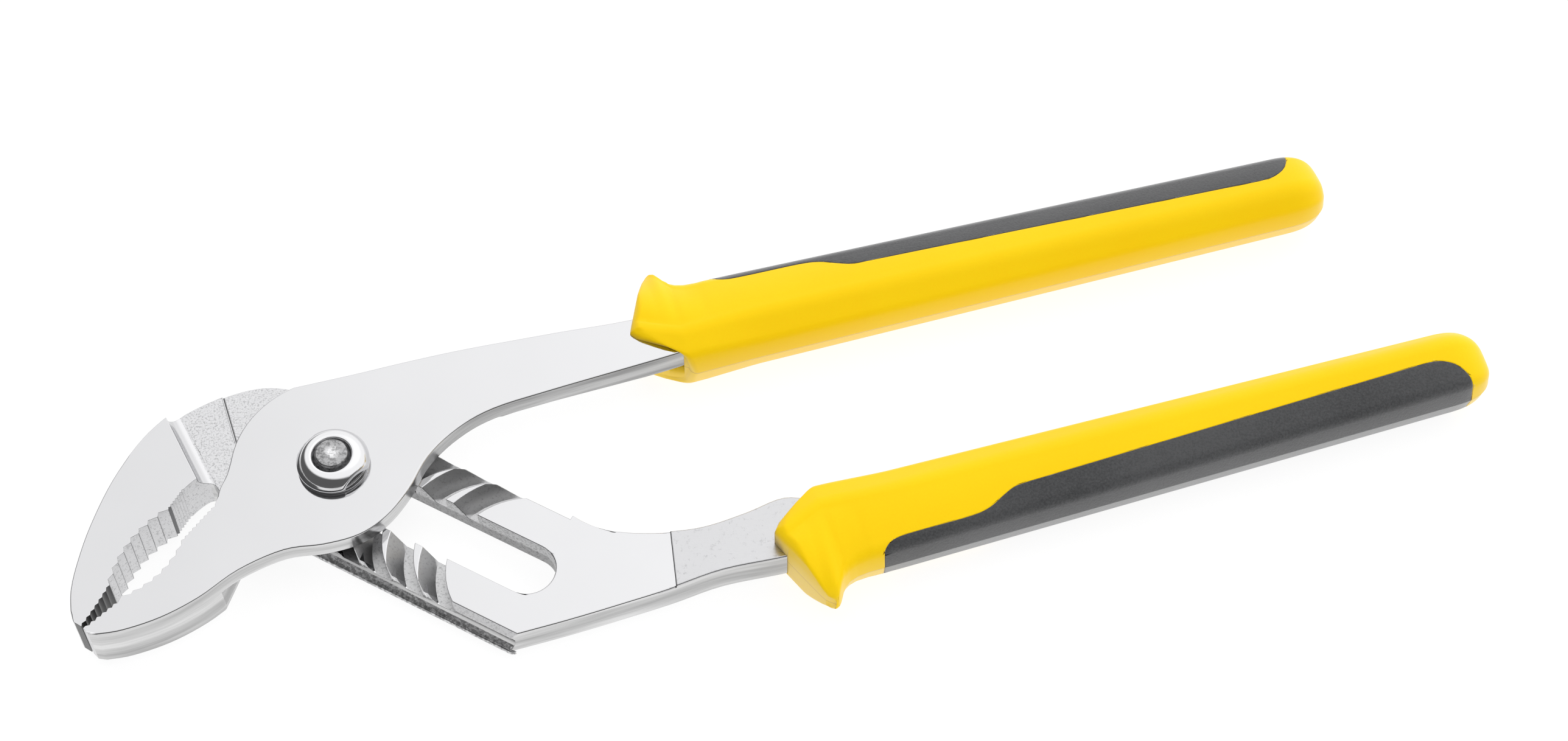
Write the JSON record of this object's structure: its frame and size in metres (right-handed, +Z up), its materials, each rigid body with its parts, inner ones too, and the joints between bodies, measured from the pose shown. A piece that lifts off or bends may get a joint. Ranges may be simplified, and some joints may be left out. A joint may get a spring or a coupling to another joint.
{
  "type": "tongue and groove pliers",
  "caption": "Adjustable water-pump pliers: a polished front lever pivots on a bolt that slides along a grooved slot in the rear lever, with two-colour moulded grips",
  "frame": {"origin": "on the pivot axis, at the underside of the bolt head, which is the plane the tool rests on", "axes": "+X runs towards the handle ends, +Y towards the front lever's handle, +Z up through the pivot, normal to the jaws' faces"},
  "size_m": [0.2416, 0.0995, 0.0149],
  "materials": {
    "lever_steel": "polished forged steel, nickel-chrome plated, with darker as-forged recesses",
    "fastener_steel": "bright turned steel",
    "grip_yellow": "satin moulded elastomer with a fine grain",
    "grip_charcoal": "satin soft-touch elastomer with a fine speckled grain"
  },
  "bodies": {
    "rear": {"rear_lever": "lever_steel", "rear_grip": "grip_yellow", "rear_grip_inlay": "grip_charcoal"},
    "pivot": {"pivot_bolt": "fastener_steel", "pivot_nut": "fastener_steel"},
    "front": {"front_lever": "lever_steel", "front_grip": "grip_yellow", "front_grip_inlay": "grip_charcoal"}
  },
  "joints": [
    {"name": "jaw_adjust", "type": "slide", "parent": "rear", "child": "pivot", "axis": [0.8788, -0.4772, 0], "range_m": [0, 0.0381]},
    {"name": "jaw_pivot", "type": "hinge", "parent": "pivot", "child": "front", "pos_m": [0, 0, 0.009], "axis": [0, 0, 1], "range_deg": [0, 52]}
  ]
}
